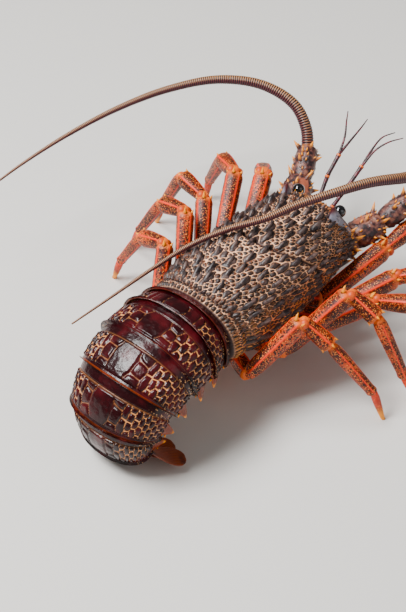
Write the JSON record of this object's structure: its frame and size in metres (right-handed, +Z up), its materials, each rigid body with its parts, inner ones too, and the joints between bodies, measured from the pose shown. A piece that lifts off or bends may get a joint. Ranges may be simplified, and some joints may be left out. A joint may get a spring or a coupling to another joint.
{
  "type": "spiny rock lobster, still life-size model",
  "caption": "Still, life-size spiny rock lobster standing on its toes, tail curled under, long antennae swept back over the body.",
  "frame": {"origin": "centre of the animal's box on the floor it stands on", "axes": "+Z up from the floor, -Y the way the animal faces, -X to its right"},
  "size_m": [0.334, 0.3058, 0.1184],
  "materials": {
    "shell": "satin, knobbly shell, dark slate scales on a tan ground",
    "tail": "glossy dark maroon with tan seams",
    "leg": "satin orange-red, speckled brown",
    "peduncle": "satin, mottled brown and salmon with pale spines",
    "horn": "satin grey maroon with orange tips",
    "feeler": "satin, finely ringed purple brown",
    "eye": "glossy black",
    "fan": "leathery red brown with fine rays",
    "underside": "satin pale orange brown"
  },
  "bodies": {
    "root": {"carapace": "shell", "sternum": "underside", "mouth": "underside", "tail_1": "tail", "tail_2": "tail", "tail_3": "tail", "tail_4": "tail", "tail_5": "tail", "tail_6": "tail", "telson": "fan", "uropod_right_inner": "fan", "uropod_right_outer": "fan", "uropod_left_inner": "fan", "uropod_left_outer": "fan", "horn_right": "horn", "antenna_right_joint_1": "peduncle", "antenna_right_joint_2": "peduncle", "antenna_right_joint_3": "peduncle", "antenna_right_whip_root": "feeler", "antenna_right_whip_tip": "feeler", "eye_right": "eye", "antennule_right": "feeler", "leg_right_1_upper": "leg", "leg_right_1_lower": "leg", "leg_right_2_upper": "leg", "leg_right_2_lower": "leg", "leg_right_3_upper": "leg", "leg_right_3_lower": "leg", "leg_right_4_upper": "leg", "leg_right_4_lower": "leg", "leg_right_5_upper": "leg", "leg_right_5_lower": "leg", "maxilliped_right": "leg", "swimmeret_right_2": "underside", "swimmeret_right_3": "underside", "swimmeret_right_4": "underside", "swimmeret_right_5": "underside", "horn_left": "horn", "antenna_left_joint_1": "peduncle", "antenna_left_joint_2": "peduncle", "antenna_left_joint_3": "peduncle", "antenna_left_whip_root": "feeler", "antenna_left_whip_tip": "feeler", "eye_left": "eye", "antennule_left": "feeler", "leg_left_1_upper": "leg", "leg_left_1_lower": "leg", "leg_left_2_upper": "leg", "leg_left_2_lower": "leg", "leg_left_3_upper": "leg", "leg_left_3_lower": "leg", "leg_left_4_upper": "leg", "leg_left_4_lower": "leg", "leg_left_5_upper": "leg", "leg_left_5_lower": "leg", "maxilliped_left": "leg", "swimmeret_left_2": "underside", "swimmeret_left_3": "underside", "swimmeret_left_4": "underside", "swimmeret_left_5": "underside"}
  },
  "joints": []
}
